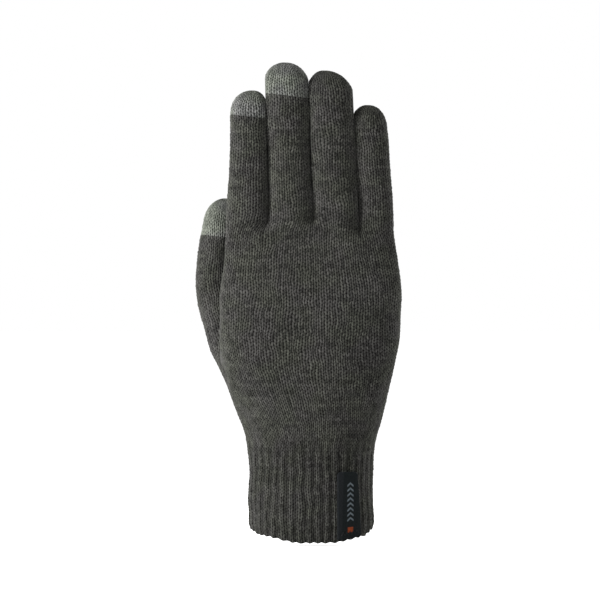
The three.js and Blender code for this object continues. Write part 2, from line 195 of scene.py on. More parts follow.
def measure_thumb():
    """The thumb's sides: clear of the palm above its crotch, and carried on into it below."""
    nodes = ("thumb_lower_tube", "thumb_middle_tube", "thumb_end_tube", "thumb_touch_cap")
    edges = edges_of(nodes)
    heights = [z * MM for z in THUMB_SLICES]
    sides = []
    for z in heights:
        x, y = slice_at(edges, z).T
        lean = THUMB_LEAN * smoothstep((z - LEAN_FROM) / LEAN_OVER)
        sides.append((x.min() + lean, x.max() + lean, y.min(), y.max()))
    root = edges_of(("lower_palm",))
    low = [z * MM for z in ROOT_SLICES]
    girth = sides[0][1] - sides[0][0]
    for k, z in enumerate(low):
        cut = slice_at(root, z)
        left = cut[:, 0].min()
        front = cut[cut[:, 0] < ROOT_RIGHT][:, 1].max()
        sides.insert(k, (left, left + girth, front - girth, front))
    return Profile(low + heights, sides, smooth=7 * MM)


HAND = measure_hand()
THUMB = measure_thumb()
JOINTS = {j["name"]: Vector(j["pos_m"]) for j in frame["joints"]}


# ---- Columns and rows ----
def columns_of(total):
    """The place of each column of vertices round a tube, in wales."""
    return np.arange(total * ACROSS) / ACROSS


def courses(length):
    """The number of whole courses in a length of knit."""
    return max(1, round(length / COURSE))


def surface(wales, foot, top, length, section):
    """A band of the hand: rows of points from a foot to a top that hold `length` of knit."""
    steps = courses(length) * UP
    points = np.empty((steps + 1, len(wales), 3))
    for i, row in enumerate(np.linspace(0, 1, steps + 1)):
        z = mix(foot, top, row)
        points[i, :, :2] = section(z)
        points[i, :, 2] = z
    return points


# ---- Ovals ----
ROUND = 2.0  # an oval's power: this is an ellipse, and more is boxier
CUFF_SQUARE = 2.1
PALM_SQUARE_GAIN = 0.6  # how much boxier the palm is than the cuff
SQUARE_OVER = 70 * MM  # height above the cuff over which it turns so
FINGER_SQUARE = 2.2


def oval(phase, sides, square):
    """A superellipse. Phase 0 is its left side, then come the back, the right and the palm."""
    left, right, back, front = sides
    angle = 2 * math.pi * phase
    c, s = np.cos(angle), np.sin(angle)
    power = 2.0 / square
    x = (left + right) / 2 - (right - left) / 2 * np.sign(c) * np.abs(c) ** power
    y = (back + front) / 2 - (front - back) / 2 * np.sign(s) * np.abs(s) ** power
    return np.stack([x, y], -1)


def even_phase(marks, sides, square):
    """The phases of marks that share the girth out evenly, for the mean of the sides."""
    dense = np.linspace(0, 1, 721)
    points = oval(dense, [np.mean(side) for side in sides], np.mean(square))
    steps = np.hypot(*np.diff(points, axis=0).T)
    run = np.concatenate([[0], np.cumsum(steps)]) / steps.sum()
    return np.interp(marks % 1.0, run, dense)


def hand_square(z):
    return CUFF_SQUARE + PALM_SQUARE_GAIN * smoothstep((np.mean(z) - CUFF_TOP) / SQUARE_OVER)


def hand_point(marks, z):
    sides = HAND.at(z)
    square = hand_square(z)
    return oval(even_phase(marks, sides, square), sides, square)


def thumb_point(wales, z):
    marks = wales / THUMB_WALES + THUMB_TURN
    sides = THUMB.at(z)
    return oval(even_phase(marks, sides, ROUND), sides, ROUND)


# ---- Fingers ----
LEVELS = (PALM_TOP, PALM_TOP + 50 * MM)  # heights between which a finger tapers evenly
LOW_SLICE = 0.42  # share of the lower tube's height at which a finger is measured
HIGH_SLICE = {True: 0.6, False: 0.35}  # the same of the end tube, with a cap and without
BETWEEN = 0.06 * MM  # from one finger's knit to the next, where they press each other flat
PRESS = 0.5 * MM  # how far each would reach past that plane if its neighbour weren't there
TIP_PRESS = 2.2 * MM  # the same for the shorter of the two, at the upper level
PRESS_RISE = 3 * MM  # height above a crotch over which the flat grows
INDEX_INSET = (0, 0.8 * MM)  # how far its left side stands in from the CAD's, at both levels
LITTLE_INSET = (0.3 * MM, -0.9 * MM)  # the same for the little finger's right side
LITTLE_SUNK = 1.3 * MM  # and for its back
SLANTS = (0.008, -0.008, -0.009)  # how far right each gap's plane goes, by its depth in y
VALLEY_SHIFT = (1.0 * MM, 0.15 * MM)  # how far right of midway a gap lies, at both levels
TIPS = {  # the height of each tip, its lean to the right, and how far it ends below the CAD's
    "index": (13 * MM, 0.4 * MM, 0),
    "middle": (11.5 * MM, -0.7 * MM, 0),
    "ring": (16 * MM, -2.2 * MM, 0),
    "little": (12 * MM, -1.1 * MM, 0.8 * MM),
}


class Finger:
    """One finger's tube, measured from its CAD nodes.

    `first` is its first wale on the back of the palm, and `crotches` the number of wales it has
    in the crotches at its left and its right.
    """

    def __init__(self, name, first, front_wales, crotches, cap):
        self.name = name
        self.first = first
        self.front = front_wales
        self.left, self.right = crotches
        self.tip_height, self.tip_lean, short = TIPS[name]
        self.wales = 2 * front_wales + self.left + self.right
        low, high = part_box(name + "_lower_tube")
        near = mix(low.z, high.z, LOW_SLICE)
        near_sides = self.sides_of(name + "_lower_tube", near)
        low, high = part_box(name + "_end_tube")
        far = mix(low.z, high.z, HIGH_SLICE[cap])
        far_sides = self.sides_of(name + "_end_tube", far)
        self.sides_at = [
            mix(near_sides, far_sides, (level - near) / (far - near)) for level in LEVELS
        ]
        tip_node = name + ("_touch_cap" if cap else "_end_tube")
        self.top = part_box(tip_node)[1].z - short
        self.cap_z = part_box(tip_node)[0].z if cap else None
        self.knuckle = JOINTS[name + "_knuckle"]
        self.middle = JOINTS[name + "_middle_joint"]
        self.end = JOINTS[name + "_end_joint"]
        self.crotch = self.knuckle.z - KNUCKLE_ABOVE_CROTCH

    def sides_of(self, node, z):
        x, y = slice_at(edges_of((node,)), z).T
        return np.array([x.min(), x.max(), y.min(), y.max()])

    def sides(self, z):
        share = (np.asarray(z) - LEVELS[0]) / (LEVELS[1] - LEVELS[0])
        return [mix(a, b, share) for a, b in zip(*self.sides_at)]

    def point(self, wales, z):
        marks = (wales + self.left / 2) / self.wales
        sides = self.sides(z)
        return oval(even_phase(marks, sides, FINGER_SQUARE), sides, FINGER_SQUARE)

    def press(self, points, inset=0.0):
        """Keeps the knit on its own side of the planes in its gaps, and `inset` off them."""
        y, z = points[..., 1], points[..., 2]
        left, right, back, front = self.sides(z)
        depth = y - (back + front) / 2
        share = (z - LEVELS[0]) / (LEVELS[1] - LEVELS[0])
        room = BETWEEN / 2 + inset
        x = points[..., 0]
        if self.left:
            free = smoothstep((z - self.left_crotch.z) / PRESS_RISE)
            edge = left + mix(*self.press_left, share) + room + self.left_slant * depth
            x = mix(x, np.maximum(x, edge), free)
        if self.right:
            free = smoothstep((z - self.right_crotch.z) / PRESS_RISE)
            edge = right - mix(*self.press_right, share) - room + self.right_slant * depth
            x = mix(x, np.minimum(x, edge), free)
        return np.stack([x, y, z], -1)


FINGERS = [
    Finger("index", 0, 10, (0, CROTCH_WALES), True),
    Finger("middle", 10, 10, (CROTCH_WALES, CROTCH_WALES), True),
    Finger("ring", 20, 10, (CROTCH_WALES, CROTCH_WALES), False),
    Finger("little", 30, 9, (CROTCH_WALES, 0), False),
]
for a, b, slant in zip(FINGERS, FINGERS[1:], SLANTS):
    a.right_slant = b.left_slant = slant
    a.press_right = (PRESS, TIP_PRESS if a.top < b.top else PRESS)
    b.press_left = (PRESS, TIP_PRESS if b.top < a.top else PRESS)
    for level in (0, 1):
        middle_line = (a.sides_at[level][1] + b.sides_at[level][0]) / 2 + VALLEY_SHIFT[level]
        a.sides_at[level][1] = middle_line + a.press_right[level]
        b.sides_at[level][0] = middle_line - b.press_left[level]
for level in (0, 1):
    FINGERS[0].sides_at[level][0] += INDEX_INSET[level]
    FINGERS[-1].sides_at[level][1] -= LITTLE_INSET[level]
    FINGERS[-1].sides_at[level][2] += LITTLE_SUNK


class Crotch:
    """The line between two fingers, from the back of the hand to the palm."""

    def __init__(self, a, b, height):
        self.z = height
        ends_a = a.point(np.array([a.front, a.front + a.right], float), height)
        ends_b = b.point(np.array([0.0, b.wales - b.left]), height)
        self.back, self.palm = (ends_a + ends_b) / 2

    def line(self, t):
        return mix(self.back, self.palm, t[..., None])


CROTCHES = []
for (a, b), choose in zip(zip(FINGERS, FINGERS[1:]), (min, max, min)):
    CROTCHES.append(Crotch(a, b, choose(a.crotch, b.crotch)))
for position, finger in enumerate(FINGERS):
    finger.left_crotch = CROTCHES[position - 1] if finger.left else None
    finger.right_crotch = CROTCHES[position] if finger.right else None
FADE_WALES = 4.0  # how far along the knit a crotch still pulls on it
OPENING = 7 * MM  # height over which a finger comes free of its neighbour


def pull_to_line(wales, total, start, span, line, own):
    """How far to draw each wale so that the arc [start, start + span] lies on a line."""
    offset = (wales - start + total / 2) % total - total / 2
    inside = np.clip(offset, 0, span)
    away = np.maximum(-offset, offset - span)
    weight = 1 - smoothstep(np.maximum(away, 0) / FADE_WALES)
    shift = line(inside / span) - own(start + inside)
    return shift * weight[..., None]


def finger_pull(finger, wales, z=None):
    """The draw of both crotches. With a height given, it fades as the finger comes free."""
    arcs = []
    if finger.right:
        arcs.append((finger.front, finger.right_crotch, False))
    if finger.left:
        arcs.append((finger.wales - finger.left, finger.left_crotch, True))
    total = np.zeros(wales.shape + (2,))
    for start, crotch, backwards in arcs:
        line = lambda t: crotch.line(1 - t if backwards else t)
        own = lambda w: finger.point(w, crotch.z)
        pull = pull_to_line(wales, finger.wales, start, CROTCH_WALES, line, own)
        if z is not None:
            pull = pull * (1 - smoothstep((z - crotch.z) / OPENING))[..., None]
        total = total + pull
    return total


def finger_base_height(finger, wales):
    """Where each wale of a finger leaves the palm."""
    left = (finger.left_crotch or finger.right_crotch).z
    right = (finger.right_crotch or finger.left_crotch).z
    wales = wales % finger.wales
    palm_start = finger.front + finger.right
    over_back = np.clip(wales / finger.front, 0, 1)
    over_palm = np.clip((wales - palm_start) / finger.front, 0, 1)
    back, palm = mix(left, right, over_back), mix(right, left, over_palm)
    return np.where(wales < palm_start, back, palm)


# ---- Palm ----
FORK = 8 * MM  # height over which the palm divides into fingers
THIN_FROM = 112 * MM  # where the palm starts to thin towards the fingers
NARROW_FROM = 130 * MM  # where it starts to narrow towards them
FINGER_ROOM = 0.3 * MM  # how far its back and front there stand outside the fingers'
THUMB_OPENING = 11 * MM  # height over which the thumb comes free of the palm
ROOT_FROM = 50 * MM  # where the thumb's root starts to swell out of the palm
ROOT_RISE = THUMB_CROTCH - 52 * MM  # height over which it does
SOFT_WALES = 3.2  # how far round the palm its section is softened
SOFT_GAP = 2 * MM  # height below the crotch that stays as it is
SOFT_BELOW = 22 * MM  # height over which the softening grows, below that
SOFT_ABOVE = 8 * MM  # the same, above the cuff
CORNER_FROM = 0.86  # share of half the rim's width where its corner starts
CORNER_OVER = 0.17  # the share over which it rises
CUFF_OVERLAP = 0.6 * MM  # how far the cuff reaches up inside the palm's foot


def thumb_line(t):
    """The thumb's crotch: midway between the palm's own arc and the thumb's."""
    palm = hand_point((PALM_THUMB_FROM + THUMB_CROTCH_WALES * (1 - t)) / PALM_WALES, THUMB_CROTCH)
    own = thumb_point(THUMB_CROTCH_WALES * t, THUMB_CROTCH)
    return (palm + own) / 2


def palm_pull(wales):
    own = lambda w: hand_point(w / PALM_WALES, THUMB_CROTCH)
    line = lambda t: thumb_line(1 - t)
    return pull_to_line(wales, PALM_WALES, PALM_THUMB_FROM, THUMB_CROTCH_WALES, line, own)


def thumb_pull(wales):
    own = lambda w: thumb_point(w, THUMB_CROTCH)
    return pull_to_line(wales, THUMB_WALES, 0, THUMB_CROTCH_WALES, thumb_line, own)


def on_finger(wales):
    """For each palm wale: the finger it runs into, and its wale there."""
    for finger in FINGERS:
        first_palm = 2 * FRONT_WALES - finger.first - finger.front
        over_back = (wales >= finger.first) & (wales <= finger.first + finger.front)
        over_palm = (wales >= first_palm) & (wales <= first_palm + finger.front)
        palm_wale = finger.front + finger.right + wales - first_palm
        yield finger, over_back | over_palm, np.where(over_back, wales - finger.first, palm_wale)


def palm_top(wales):
    """Height and place where each palm wale runs into its finger."""
    height = np.zeros_like(wales)
    place = np.zeros(wales.shape + (2,))
    for finger, mine, own in on_finger(wales):
        top = finger_base_height(finger, own)
        base = finger.point(own, top) + finger_pull(finger, own)
        height = np.where(mine, top, height)
        place = np.where(mine[..., None], base, place)
    return height, place


def near_fingers(points, z):
    """Brings the palm's width and depth down to the fingers' as it nears them."""
    left, right, back, front = HAND.at(z)
    across = (points[:, 0] - left) / (right - left)
    deep = (points[:, 1] - back) / (front - back)
    base = [finger.sides_at[0] for finger in FINGERS]
    x = mix(base[0][0], base[-1][1], across)
    y_low = min(sides[2] for sides in base) - FINGER_ROOM
    y_high = max(sides[3] for sides in base) + FINGER_ROOM
    narrow = smoothstep((z - NARROW_FROM) / (PALM_TOP - NARROW_FROM))
    thin = smoothstep((z - THIN_FROM) / (PALM_TOP - THIN_FROM))
    x = mix(points[:, 0], x, narrow)
    y = mix(points[:, 1], mix(y_low, y_high, deep), thin)
    return np.stack([x, y], -1)


def palm_surface(wales):
    """The upper palm, from the thumb's crotch to the fingers."""
    top, place = palm_top(wales)
    pull = palm_pull(wales)

    def section(z):
        flat = hand_point(wales / PALM_WALES, z)
        fade = 1 - smoothstep((z - THUMB_CROTCH) / THUMB_OPENING)
        flat = near_fingers(flat + pull * fade[:, None], z)
        fork = smoothstep(1 - (top - z) / FORK)
        return mix(flat, place, fork[:, None])

    return surface(wales, THUMB_CROTCH, top, PALM_TOP - THUMB_CROTCH, section)


def body_surface(wales):
    """The lower palm, from the cuff to the thumb's crotch."""
    extra = BODY_WALES - PALM_WALES
    thumb_end = PALM_THUMB_FROM + THUMB_CROTCH_WALES + extra
    on_thumb = (wales > PALM_THUMB_FROM) & (wales < thumb_end)
    palm_wale = np.where(wales >= thumb_end, wales - extra, wales)
    thumb_wale = THUMB_CROTCH_WALES + wales - PALM_THUMB_FROM
    pull = np.where(on_thumb[:, None], thumb_pull(thumb_wale), palm_pull(palm_wale))

    def section(z):
        plain = hand_point((wales - BODY_LEFT) / BODY_WALES, z)
        palm = hand_point(palm_wale / PALM_WALES, z)
        own = np.where(on_thumb[:, None], thumb_point(thumb_wale, z), palm) + pull
        return mix(plain, own, smoothstep((z - ROOT_FROM) / ROOT_RISE))

    points = surface(wales, CUFF_TOP, THUMB_CROTCH, THUMB_CROTCH - CUFF_TOP, section)
    # the thumb swells out of the palm without a crease, except just below its crotch; the
    # softened section is as wide as the plain one
    soft = blur(points, SOFT_WALES * ACROSS, 1, True)
    x, soft_x = points[..., 0], soft[..., 0]
    left, soft_left = x.min(1, keepdims=True), soft_x.min(1, keepdims=True)
    grow = np.ptp(x, axis=1, keepdims=True) / np.ptp(soft_x, axis=1, keepdims=True)
    soft[..., 0] = left + (soft_x - soft_left) * grow
    share = smoothstep((THUMB_CROTCH - points[:, :, 2:] - SOFT_GAP) / SOFT_BELOW)
    share = share * smoothstep((points[:, :, 2:] - CUFF_TOP) / SOFT_ABOVE)
    return mix(points, soft, share)


def rim_height(x):
    """Height of the rim, which is lowest near its middle and rises to both sides."""
    half = (rim_high.x - rim_low.x) / 2
    out = np.abs(x - CENTRE.x)
    corner = smoothstep((out - CORNER_FROM * half) / (CORNER_OVER * half))
    rise = smoothstep((np.abs(x - CENTRE.x - RIM_SHIFT) - RIM_FLAT) / (half - RIM_FLAT))
    return RIM_RISE * rise + RIM_CORNER * corner


def cuff_surface(wales):
    """The cuff, from the rim to a little inside the palm's foot."""
    foot = rim_height(hand_point(wales / CUFF_WALES, 0.0)[:, 0])
    section = lambda z: hand_point(wales / CUFF_WALES, z)
    return surface(wales, foot, CUFF_TOP + CUFF_OVERLAP, CUFF_TOP, section)


# ---- Tubes with closed tips ----
DOME_END = math.radians(87)  # how far up the egg's quarter turn the last row lies
TIP_LINE = 0.04  # length of the line in which a tip closes, as a share of the tube's width
QUARTER_ARC = 1.11  # length of a quarter circle as a share of its chord


def dome(base, top, lean, steps):
    """Rows that close a tube: a leaning half egg whose end draws in to a short line."""
    centre = (base[:, :2].max(0) + base[:, :2].min(0)) / 2
    rows = np.linspace(0, 1, steps + 1)
    points = np.empty((steps + 1,) + base.shape)
    for i, row in enumerate(rows):
        angle = row * DOME_END
        narrow = math.cos(angle)
        lift = math.sin(angle)
        share = np.array([mix(narrow, 1, TIP_LINE * row), narrow])
        points[i, :, :2] = centre + (base[:, :2] - centre) * share
        points[i, :, 0] += lean * (1 - narrow)
        points[i, :, 2] = mix(base[:, 2], top, lift)
    return points


def tube(section, foot, stops, top, lean):
    """A digit: rows of points from its base to its tip, and the row of each stop and the tip."""
    rows, marks = [], []
    low = foot
    count = 0
    for stop in stops:
        steps = courses(stop - float(np.mean(low))) * UP
        for i in range(steps):
            z = mix(low, stop, i / steps)
            rows.append(np.column_stack([section(z), z]))
        count += steps
        marks.append(count)
        low = np.full_like(foot, stop)
    base = np.column_stack([section(low), low])
    half = (base[:, 0].max() - base[:, 0].min()) / 2
    steps = courses(QUARTER_ARC * math.hypot(half, top - stops[-1])) * UP
    marks.append(count + steps)
    return np.concatenate([np.array(rows), dome(base, top, lean, steps)]), marks


# ---- Knit relief ----
FOLD = 0.25 * MM  # how far the fabric's unevenness moves it
WALE_STRAY = 0.08  # of a wale
COURSE_STRAY = 0.1  # of a course
SIZE_SPREAD = 0.14  # how unlike in height the stitches are
CLOUD_TONE = 0.25  # how strongly the clouds change the yarn's tone
STREAK_TONE = 0.5  # how strongly its own streaks do
STREAK_WALES = 2.4  # how far along a course the yarn keeps its shade
MEAN_HEIGHT = 0.6  # the height of the relief that lies on the surface
FULL_WALE = 2.0 * MM  # a wale this wide or wider has its full relief
LEAST_RELIEF = 0.15  # share of the relief that crowded stitches keep
LEG_WIDTH = 0.23  # of a wale
LEG_LENGTH = 0.72  # of a course
LEG_LEAN = 0.17  # how the legs of a stitch spread, in wales to a course


def plain_knit(wale, course):
    """Height of plain knit, 0 in the holes and 1 on the yarn: each stitch is a V of two legs."""
    across = np.abs(wale % 1.0 - 0.5)
    best = np.zeros_like(across)
    for shift in (-1, 0, 1):
        rise = course % 1.0 - 0.5 + shift
        p = (across - 0.25 - LEG_LEAN * rise) / LEG_WIDTH
        q = rise / LEG_LENGTH
        best = np.maximum(best, 1 - p * p - q * q)
    return np.sqrt(best)


def normals_of(points):
    """Outward unit normals of a grid that closes on itself across its columns."""
    along = np.gradient(points, axis=0)
    around = np.roll(points, -1, axis=1) - np.roll(points, 1, axis=1)
    normal = np.cross(around, along)
    length = np.linalg.norm(normal, axis=2, keepdims=True)
    return normal / np.maximum(length, 1e-12)


def unpressed(points, inset=0.0):
    """For the knit of the hand and the thumb, which has no neighbour to lie against."""
    return points


class Knit:
    """A tube of knit on a grid of points, ready to be cut into pieces along its courses."""

    def __init__(self, points, total, press=unpressed):
        self.total = total
        self.press = press
        # folds move everything near them alike, so neighbours stay apart and seams stay closed
        sway = [FOLD * waves.at(points) for waves in FOLDS]
        self.points = points + np.stack(sway + [np.zeros_like(sway[0])], -1)
        self.normals = normals_of(self.points)
        rows = np.arange(len(points)) / UP
        self.wale = columns_of(total)[None, :] + WALE_STRAY * WANDER.at(points)
        self.course = rows[:, None] + COURSE_STRAY * BOB.at(points)
        self.height = plain_knit(self.wale, self.course) * self.stitch_sizes()
        # painted shade: 1 where none is painted, less in the rib's valleys
        self.shade = np.ones_like(self.height)
        self.tone = CLOUD_TONE * CLOUD.at(points) + self.streaks()
        spacing = np.linalg.norm(np.roll(points, -1, axis=1) - points, axis=2) * ACROSS
        crowding = np.clip(spacing / FULL_WALE, LEAST_RELIEF, 1.0)
        self.lift = RELIEF * (self.height - MEAN_HEIGHT) * crowding

    def cell(self):
        """The whole numbers of the course and the wale that each point lies in."""
        row = np.clip(np.floor(self.course).astype(int), 0, None)
        return row, np.floor(self.wale).astype(int) % self.total

    def stitch_sizes(self):
        row, wale = self.cell()
        sizes = 1 + SIZE_SPREAD * rng.standard_normal((row.max() + 1, self.total))
        return np.clip(sizes, 0.6, 1.35)[row, wale]

    def streaks(self):
        """The yarn's own change of shade along each course."""
        row = self.cell()[0]
        count = self.total * ACROSS
        yarn = blur(rng.standard_normal((row.max() + 1, count)), STREAK_WALES * ACROSS, 1, True)
        column = np.round(self.wale * ACROSS).astype(int) % count
        return STREAK_TONE * yarn[row, column] / yarn.std()

    def outer(self):
        return self.press(self.points + self.normals * self.lift[..., None])

    def inner(self, low, high):
        """The inside of the fabric between two rows: one row for every second course."""
        chosen = sorted(set(range(low, high, 2 * UP)) | {high})
        return self.press(self.points[chosen] - self.normals[chosen] * THICK, 0.6 * THICK)

    def piece(self, name, low, high, closed=False):
        rows = slice(low, high + 1)
        place = knit_place(self.wale[rows], self.course[rows], self.total)
        attributes = {"shade": self.shade[rows], "tone": self.tone[rows]}
        return shell(name, self.outer()[rows], self.inner(low, high), place, attributes, closed)

    def whole(self, name):
        """All of the tube as one piece."""
        return self.piece(name, 0, len(self.points) - 1)


# ---- Meshes ----
def knit_place(wale, course, total):
    """Where a grid's vertices lie in the knit. The first column comes again, a turn further."""
    wale = np.concatenate([wale, wale[:, :1] + total], 1)
    course = np.concatenate([course, course[:, :1]], 1)
    return np.stack([wale, course], -1)


def corners(place, flip):
    """The places of a grid's face corners, from the places of its vertices."""
    quads = [place[:-1, :-1], place[:-1, 1:], place[1:, 1:], place[1:, :-1]]
    if flip:
        quads.reverse()
    return np.stack(quads, 2).reshape(-1, 2)


def grid_faces(rows, columns, first, flip):
    """Quads between the rows of a grid of vertices that starts at number `first`."""
    i, j = np.meshgrid(np.arange(rows - 1), np.arange(columns), indexing="ij")
    a = first + i * columns + j
    b = first + i * columns + (j + 1) % columns
    quads = np.stack([a, b, b + columns, a + columns], -1).reshape(-1, 4)
    return quads[:, ::-1] if flip else quads


def grid_map(rows, columns, low, high, flip):
    """Corner coordinates of a grid's quads, laid out flat between two heights of the map."""
    u = np.arange(columns + 1) / columns
    v = mix(low, high, np.arange(rows) / (rows - 1))
    return corners(np.stack(np.meshgrid(u, v), -1), flip)


def edge_faces(outer, inner, flip):
    """Quads from an outer ring of vertices to an inner one."""
    quads = np.stack([outer, inner, np.roll(inner, -1), np.roll(outer, -1)], -1)
    return quads[:, ::-1] if flip else quads


def fan(ring, centre, flip):
    """Triangles from a ring of vertices to one vertex."""
    triangles = np.stack([ring, np.roll(ring, -1), np.full_like(ring, centre)], -1)
    return triangles[:, ::-1] if flip else triangles


def fan_map(count, low, high, flip):
    """Corner coordinates of a fan, as a band of triangles between two heights of the map."""
    u = np.arange(count) / count
    triangle = [(u, np.full(count, low)), (u + 1 / count, np.full(count, low))]
    triangle.append((u + 0.5 / count, np.full(count, high)))
    if flip:
        triangle.reverse()
    return np.stack([np.stack(corner, -1) for corner in triangle], 1).reshape(-1, 2)


def new_mesh(name, vertices, faces, maps, attributes):
    """A mesh object from arrays: faces is a list of groups, and a map has one array a group."""
    mesh = bpy.data.meshes.new(name)
    loops = np.concatenate([f.reshape(-1) for f in faces])
    sizes = np.concatenate([np.full(len(f), f.shape[1]) for f in faces])
    starts = np.concatenate([[0], np.cumsum(sizes)[:-1]])
    mesh.vertices.add(len(vertices))
    mesh.vertices.foreach_set("co", vertices.astype(np.float32).ravel())
    mesh.loops.add(len(loops))
    mesh.loops.foreach_set("vertex_index", loops.astype(np.int32))
    mesh.polygons.add(len(sizes))
    mesh.polygons.foreach_set("loop_start", starts.astype(np.int32))
    mesh.polygons.foreach_set("loop_total", sizes.astype(np.int32))
    mesh.polygons.foreach_set("use_smooth", np.ones(len(sizes), bool))
    mesh.update(calc_edges=True)
    for layer_name, groups in maps.items():
        layer = mesh.uv_layers.new(name=layer_name)
        layer.data.foreach_set("uv", np.concatenate(groups).astype(np.float32).ravel())
    for attribute_name, values in attributes.items():
        attribute = mesh.attributes.new(attribute_name, "FLOAT", "POINT")
        attribute.data.foreach_set("value", values.astype(np.float32))
    mesh.validate()
    obj = bpy.data.objects.new(name, mesh)
    bpy.context.scene.collection.objects.link(obj)
    return obj


LEG = (0.25, 0.5)  # a place in the knit on the crest of a leg


def shell(name, outer, inner, place, attributes, closed):
    """One closed piece of fabric: an outer grid, a coarser inner grid and the edges between.

    In the map OFBake each group of faces has a band of heights of its own, so none overlap.
    """
    rows, columns = outer.shape[:2]
    inner_rows = inner.shape[0]
    vertices = [outer.reshape(-1, 3), inner.reshape(-1, 3)]
    first = rows * columns
    around = np.arange(columns)
    top = (rows - 1) * columns + around
    inner_top = first + (inner_rows - 1) * columns + around
    faces = [grid_faces(rows, columns, 0, False), grid_faces(inner_rows, columns, first, True)]
    bake = [grid_map(rows, columns, 0.01, 0.80, False)]
    bake.append(grid_map(inner_rows, columns, 0.84, 0.95, True))
    faces.append(edge_faces(around, first + around, False))
    bake.append(grid_map(2, columns, 0.955, 0.965, False))
    if closed:
        tip = first + inner_rows * columns
        vertices.append(np.stack([outer[-1].mean(0), inner[-1].mean(0)]))
        faces.append(fan(top, tip, False))
        bake.append(fan_map(columns, 0.81, 0.82, False))
        faces.append(fan(inner_top, tip + 1, True))
        bake.append(fan_map(columns, 0.97, 0.975, True))
    else:
        faces.append(edge_faces(top, inner_top, True))
        bake.append(grid_map(2, columns, 0.98, 0.99, True))
    knit = [corners(place, False)]
    knit += [np.tile(LEG, (f.size, 1)) for f in faces[1:]]
    rest = sum(len(v) for v in vertices) - first
    values = {}
    for key, grid in attributes.items():
        values[key] = np.concatenate([grid.ravel(), np.full(rest, grid.mean())])
    maps = {"OFBake": bake, "Knit": knit}
    return new_mesh(name, np.concatenate(vertices), faces, maps, values)


# ---- Materials ----
class Nodes:
    """A short way to wire a material's nodes."""

    def __init__(self, name):
        self.material = bpy.data.materials.new(name)
        self.material.use_nodes = True
        self.tree = self.material.node_tree
        self.tree.nodes.clear()
        self.shader = self.add("ShaderNodeBsdfPrincipled")
        output = self.add("ShaderNodeOutputMaterial")
        self.tree.links.new(self.shader.outputs[0], output.inputs[0])

    def add(self, kind, inputs=None, **settings):
        node = self.tree.nodes.new(kind)
        for key, value in settings.items():
            setattr(node, key, value)
        for key, value in (inputs or {}).items():
            self.put(node, key, value)
        return node

    def put(self, node, key, value):
        if isinstance(value, bpy.types.NodeSocket):
            self.tree.links.new(value, node.inputs[key])
        else:
            node.inputs[key].default_value = value

    def finish(self, **inputs):
        for key, value in inputs.items():
            self.put(self.shader, key.replace("_", " "), value)

    def math(self, operation, a, b=0.0, c=0.0):
        node = self.add("ShaderNodeMath", {0: a, 1: b, 2: c}, operation=operation)
        return node.outputs[0]

    def scaled(self, value, low, high, to_low, to_high):
        limits = {"From Min": low, "From Max": high, "To Min": to_low, "To Max": to_high}
        return self.add("ShaderNodeMapRange", {"Value": value, **limits}).outputs[0]

    def blend(self, share, a, b, kind="MIX"):
        node = self.add("ShaderNodeMix", data_type="RGBA", blend_type=kind)
        self.put(node, 0, share)
        self.put(node, 6, a)
        self.put(node, 7, b)
        return node.outputs[2]

    def attribute(self, name):
        return self.add("ShaderNodeAttribute", attribute_name=name).outputs["Fac"]

    def place(self, uv_map):
        """The two coordinates of a UV map."""
        node = self.add("ShaderNodeUVMap", uv_map=uv_map)
        parts = self.add("ShaderNodeSeparateXYZ", {0: node.outputs[0]})
        return parts.outputs[0], parts.outputs[1]

    def vector(self, x, y, z=0.0):
        return self.add("ShaderNodeCombineXYZ", {0: x, 1: y, 2: z}).outputs[0]

    def noise(self, scale, detail=2.0, vector=None):
        place = vector or self.add("ShaderNodeTexCoord").outputs["Object"]
        inputs = {"Vector": place, "Scale": scale, "Detail": detail}
        return self.add("ShaderNodeTexNoise", inputs).outputs["Fac"]

    def chance(self, vector):
        return self.add("ShaderNodeTexWhiteNoise", {"Vector": vector}).outputs["Value"]

    def bump(self, height, distance, strength=1.0, normal=None):
        node = self.add("ShaderNodeBump")
        for key, value in (("Height", height), ("Distance", distance), ("Strength", strength)):
            self.put(node, key, value)
        if normal:
            self.put(node, "Normal", normal)
        return node.outputs[0]


def knit_nodes(n, wale, course):
    """The same V stitches as the mesh's relief, as nodes: 0 in the holes and 1 on the yarn."""
    side = n.math("ABSOLUTE", n.math("SUBTRACT", n.math("FRACT", wale), 0.5))
    part = n.math("FRACT", course)
    best = None
    for shift in (-1.5, -0.5, 0.5):
        rise = n.math("ADD", part, shift)
        off = n.math("SUBTRACT", side, n.math("MULTIPLY_ADD", rise, LEG_LEAN, 0.25))
        p = n.math("DIVIDE", off, LEG_WIDTH)
        q = n.math("DIVIDE", rise, LEG_LENGTH)
        room = n.math("SUBTRACT", 1.0, n.math("MULTIPLY_ADD", p, p, n.math("MULTIPLY", q, q)))
        best = n.math("MAXIMUM", best, room) if best else room
    return n.math("SQRT", n.math("MAXIMUM", best, 0.0))


